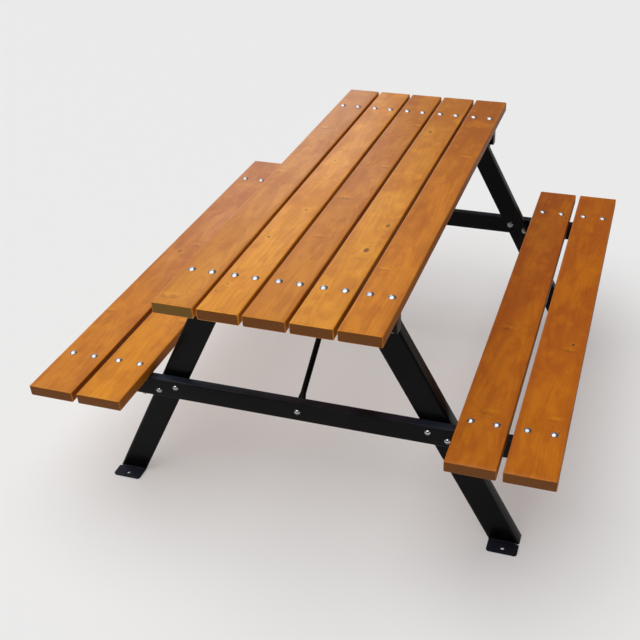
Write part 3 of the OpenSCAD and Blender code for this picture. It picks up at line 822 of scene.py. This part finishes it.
def islands(node):
    """Boxes of the separate solids in a CAD node."""
    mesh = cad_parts[node].data
    work = bmesh.new()
    work.from_mesh(mesh)
    bmesh.ops.remove_doubles(work, verts=work.verts, dist=1e-6)
    seen, boxes = set(), []
    for vert in work.verts:
        if vert.index in seen:
            continue
        stack, group = [vert], []
        seen.add(vert.index)
        while stack:
            here = stack.pop()
            group.append(here.co.copy())
            for edge in here.link_edges:
                other = edge.other_vert(here)
                if other.index not in seen:
                    seen.add(other.index)
                    stack.append(other)
        low = Vector(tuple(min(p[k] for p in group) for k in range(3)))
        high = Vector(tuple(max(p[k] for p in group) for k in range(3)))
        boxes.append((low, high))
    work.free()
    boxes.sort(key=lambda b: tuple(round(value, 4) for value in (b[0] + b[1]) / 2))
    return boxes


def turned(name, profile, segments=28):
    """Turns a profile of (radius, height) points about Z; points on the axis are closed."""
    work = bmesh.new()
    rows = []
    for radius, height in profile:
        if radius < 1e-7:
            rows.append([work.verts.new((0, 0, height))])
        else:
            rows.append([work.verts.new((radius * math.cos(2 * math.pi * k / segments),
                                         radius * math.sin(2 * math.pi * k / segments), height))
                         for k in range(segments)])
    for first, second in zip(rows, rows[1:]):
        for k in range(segments):
            n = (k + 1) % segments
            if len(first) == 1:
                work.faces.new((first[0], second[k], second[n]))
            elif len(second) == 1:
                work.faces.new((first[k], first[n], second[0]))
            else:
                work.faces.new((first[k], first[n], second[n], second[k]))
    bmesh.ops.remove_doubles(work, verts=work.verts, dist=1e-7)
    bmesh.ops.recalc_face_normals(work, faces=work.faces)
    mesh = as_mesh(work, name)
    smooth_by_angle(mesh, 35)
    return new_object(name, mesh)


def bolt_pattern(name, head_width, head_height, shank, length, pitch):
    """Domed head at the top, shank, and a threaded end with a chamfer; the head's top is at height 0."""
    radius = head_width / 2
    profile = [(0.0, 0.0)]
    sphere = (radius ** 2 + head_height ** 2) / (2 * head_height)
    for k in range(1, 11):
        r = radius * 0.985 * k / 10
        profile.append((r, math.sqrt(sphere ** 2 - r ** 2) - sphere))
    profile += [(radius, -head_height + 0.00045), (radius, -head_height + 0.00015),
                (radius - 0.0002, -head_height), (shank / 2, -head_height)]
    thread_top = -length + THREAD_LENGTH
    profile.append((shank / 2, thread_top))
    turns = int((THREAD_LENGTH - 0.0012) / pitch)
    for k in range(turns):
        z = thread_top - pitch * (k + 0.5)
        profile += [(shank / 2 - pitch * 0.42, z), (shank / 2, z - pitch * 0.45)]
    profile += [(shank / 2 - 0.0008, -length), (0.0, -length)]
    return turned(name, profile)


def washer_pattern(name, width, bore, height):
    ease = min(0.0003, height * 0.25)
    profile = [(bore / 2, 0.0), (width / 2 - ease, 0.0), (width / 2, -ease), (width / 2, -height + ease),
               (width / 2 - ease, -height), (bore / 2, -height), (bore / 2, 0.0)]
    return turned(name, profile, 32)


def nut_pattern(name, across, bore, height):
    """Hexagon nut with chamfered corners and a countersunk bore; its top is at height 0."""
    steps = 48
    work = bmesh.new()
    flat = across / 2

    def hexagon(k):
        angle = 2 * math.pi * k / steps
        sector = (angle + math.pi / 6) % (math.pi / 3) - math.pi / 6
        return flat / math.cos(sector)

    def ring(radius_of, height_of):
        return [work.verts.new((radius_of(k) * math.cos(2 * math.pi * k / steps),
                                radius_of(k) * math.sin(2 * math.pi * k / steps), height_of(k)))
                for k in range(steps)]
    drop = 0.55
    rows = [ring(lambda k: bore / 2, lambda k: -0.0006),
            ring(lambda k: bore / 2 + 0.0006, lambda k: 0.0),
            ring(lambda k: flat * 0.96, lambda k: 0.0),
            ring(lambda k: hexagon(k), lambda k: -(hexagon(k) - flat * 0.96) * drop),
            ring(lambda k: hexagon(k), lambda k: -height + (hexagon(k) - flat * 0.96) * drop),
            ring(lambda k: flat * 0.96, lambda k: -height),
            ring(lambda k: bore / 2 + 0.0006, lambda k: -height),
            ring(lambda k: bore / 2, lambda k: -height + 0.0006)]
    join_rows(work, rows + rows[:1])
    bmesh.ops.recalc_face_normals(work, faces=work.faces)
    mesh = as_mesh(work, name)
    smooth_by_angle(mesh, 25)
    return new_object(name, mesh)


def screw_pattern(name, head_width, head_height, shank, length):
    """Pan head with a round driver socket, and a tapering threaded point."""
    r = head_width / 2
    profile = [(0.0, -0.0016), (0.0013, -0.0016), (0.0015, -0.0001), (0.0017, 0.0),
               (r * 0.62, -head_height * 0.06), (r * 0.86, -head_height * 0.30),
               (r * 0.97, -head_height * 0.66), (r, -head_height), (shank / 2, -head_height)]
    z = -head_height - 0.001
    while z > -length + 0.004:
        profile += [(shank / 2 - 0.0006, z - 0.0006), (shank / 2, z - 0.0012)]
        z -= 0.0018
    profile += [(0.0, -length)]
    return turned(name, profile, 20)


def repeat_tree():
    """Sets one pattern at every point, turned to face along the point's own direction."""
    tree = bpy.data.node_groups.new("fastener_row", "GeometryNodeTree")
    for name, kind in (("Points", "Geometry"), ("Pattern", "Object"), ("Size", "Float"), ("Turn", "Float"),
                       ("Seed", "Int"), ("Finish", "Material")):
        tree.interface.new_socket(name=name, in_out="INPUT", socket_type="NodeSocket" + kind)
    tree.interface.new_socket(name="Fasteners", in_out="OUTPUT", socket_type="NodeSocketGeometry")
    given = tree.nodes.new("NodeGroupInput").outputs
    info = tree.nodes.new("GeometryNodeObjectInfo")
    info.transform_space = "ORIGINAL"
    tree.links.new(given["Pattern"], info.inputs["Object"])
    facing = tree.nodes.new("GeometryNodeInputNamedAttribute")
    facing.data_type = "FLOAT_VECTOR"
    facing.inputs["Name"].default_value = "facing"
    align = tree.nodes.new("FunctionNodeAlignRotationToVector")
    align.axis = "Z"
    tree.links.new(facing.outputs["Attribute"], align.inputs["Vector"])
    spread = tree.nodes.new("GeometryNodeInstanceOnPoints")
    tree.links.new(given["Points"], spread.inputs["Points"])
    tree.links.new(info.outputs["Geometry"], spread.inputs["Instance"])
    tree.links.new(align.outputs["Rotation"], spread.inputs["Rotation"])
    tree.links.new(given["Size"], spread.inputs["Scale"])
    chance = tree.nodes.new("FunctionNodeRandomValue")
    chance.data_type = "FLOAT"
    tree.links.new(given["Turn"], chance.inputs[3])
    tree.links.new(given["Seed"], chance.inputs["Seed"])
    about = tree.nodes.new("ShaderNodeCombineXYZ")
    tree.links.new(chance.outputs[1], about.inputs["Z"])
    spin = tree.nodes.new("GeometryNodeRotateInstances")
    tree.links.new(spread.outputs["Instances"], spin.inputs["Instances"])
    tree.links.new(about.outputs["Vector"], spin.inputs["Rotation"])
    real = tree.nodes.new("GeometryNodeRealizeInstances")
    tree.links.new(spin.outputs["Instances"], real.inputs["Geometry"])
    coat = tree.nodes.new("GeometryNodeSetMaterial")
    tree.links.new(real.outputs["Geometry"], coat.inputs["Geometry"])
    tree.links.new(given["Finish"], coat.inputs["Material"])
    out = tree.nodes.new("NodeGroupOutput")
    tree.links.new(coat.outputs["Geometry"], out.inputs["Fasteners"])
    return tree


def fastener_row(tree, node, points, pattern, finish, turn, seed):
    """points holds (place of the pattern's top, direction it faces)."""
    mesh = bpy.data.meshes.new(node + "_points")
    mesh.from_pydata([tuple(place) for place, _ in points], [], [])
    facing = mesh.attributes.new("facing", "FLOAT_VECTOR", "POINT")
    facing.data.foreach_set("vector", [value for _, way in points for value in way])
    row = new_object(node + "_row", mesh)
    modifier = row.modifiers.new("fasteners", "NODES")
    modifier.node_group = tree
    names = {item.name: item.identifier for item in tree.interface.items_tree if item.in_out == "INPUT"}
    modifier[names["Pattern"]] = pattern
    modifier[names["Size"]] = 1.0
    modifier[names["Turn"]] = turn
    modifier[names["Seed"]] = seed
    modifier[names["Finish"]] = finish
    graph = bpy.context.evaluated_depsgraph_get()
    made = bpy.data.meshes.new_from_object(row.evaluated_get(graph), depsgraph=graph)
    made.name = node + "_set"
    bpy.data.objects.remove(row)
    piece = new_object(node + "_set", made)
    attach(piece, "root")
    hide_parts(node)
    return piece


def top_of(box, way):
    """The middle of the face of a box that looks along way."""
    low, high = box
    middle = (low + high) / 2
    return Vector(tuple((high if value > 0.5 else low)[k] if abs(value) > 0.5 else middle[k]
                        for k, value in enumerate(way)))


def fit_fasteners(bolt_finish, frame_bolt_finish, nut_finish):
    tree = repeat_tree()
    up, down = (0.0, 0.0, 1.0), (0.0, 0.0, -1.0)
    patterns = []
    for kind, seed in (("table", 11), ("bench", 12)):
        bolts = islands(kind + "_bolts")
        size = bolts[0][1] - bolts[0][0]
        bolt = bolt_pattern(kind + "_bolt_pattern", size.x, head_height=0.005, shank=0.008,
                            length=size.z, pitch=0.00125)
        fastener_row(tree, kind + "_bolts", [(top_of(box, up), up) for box in bolts], bolt,
                     bolt_finish, FULL_TURN, seed)
        washers = islands(kind + "_washers")
        size = washers[0][1] - washers[0][0]
        washer = washer_pattern(kind + "_washer_pattern", size.x, bore=0.0084, height=size.z)
        fastener_row(tree, kind + "_washers", [(top_of(box, down), down) for box in washers], washer,
                     nut_finish, FULL_TURN, seed + 10)
        nuts = islands(kind + "_nuts")
        size = nuts[0][1] - nuts[0][0]
        nut = nut_pattern(kind + "_nut_pattern", min(size.x, size.y), bore=0.0082, height=size.z)
        fastener_row(tree, kind + "_nuts", [(top_of(box, down), down) for box in nuts], nut,
                     nut_finish, FULL_TURN, seed + 20)
        patterns += [bolt, washer, nut]
    for kind, seed in (("leg", 13), ("rail", 14), ("brace", 15)):
        for part, reverse in (("bolts", 1), ("washers", -1), ("nuts", -1)):
            node = kind + "_" + part
            boxes = islands(node)
            size = boxes[0][1] - boxes[0][0]
            points = []
            for box in boxes:
                way = (0.0, reverse * (1.0 if (box[0] + box[1]).y > 0 else -1.0), 0.0)
                points.append((top_of(box, way), way))
            if part == "bolts":
                pattern = bolt_pattern(node + "_pattern", size.x, head_height=0.0055, shank=0.010,
                                       length=size.y, pitch=0.0015)
            elif part == "washers":
                pattern = washer_pattern(node + "_pattern", size.x, bore=0.0104, height=size.y)
            else:
                pattern = nut_pattern(node + "_pattern", min(size.x, size.z), bore=0.0102, height=size.y)
            patterns.append(pattern)
            finish = frame_bolt_finish if part == "bolts" else nut_finish
            fastener_row(tree, node, points, pattern, finish, FULL_TURN, seed)
    screws = islands("brace_screws")
    size = screws[0][1] - screws[0][0]
    pattern = screw_pattern("screw_pattern", size.x, head_height=0.003, shank=0.005, length=size.z)
    patterns.append(pattern)
    fastener_row(tree, "brace_screws", [(top_of(box, down), down) for box in screws], pattern,
                 bolt_finish, FULL_TURN, 16)
    for pattern in patterns:
        bpy.data.objects.remove(pattern)


# ---- Everything together ----

bpy.context.scene.view_settings.view_transform = "Standard"
stand_camera()
light_studio()
lay_floor()
lay_planks()

for number, corner in enumerate(("near_left_leg", "near_right_leg", "far_left_leg", "far_right_leg")):
    leg_piece(corner, powder_coat(corner + "_coat", number + 1))
for number, bar in enumerate(("near_crossbar", "far_crossbar", "near_top_rail", "far_top_rail")):
    tube_piece(bar, powder_coat(bar + "_coat", number + 6))
for number, bar in enumerate(("near_brace", "far_brace")):
    brace_piece(bar, powder_coat(bar + "_coat", number + 11))
cap_finish = moulded_plastic("cap_moulding")
for pair in ("near_crossbar_caps", "far_crossbar_caps", "near_rail_caps", "far_rail_caps"):
    cap_piece(pair, cap_finish)
fit_fasteners(polished_steel("polished_bolts", grey=0.55, low_roughness=0.22, scratch=0.08, underside_shade=0.55),
              polished_steel("frame_bolts", grey=0.62, low_roughness=0.10, scratch=0.05, underside_shade=0.85),
              polished_steel("plain_nuts", grey=0.50, low_roughness=0.22, scratch=0.12, underside_shade=0.45))
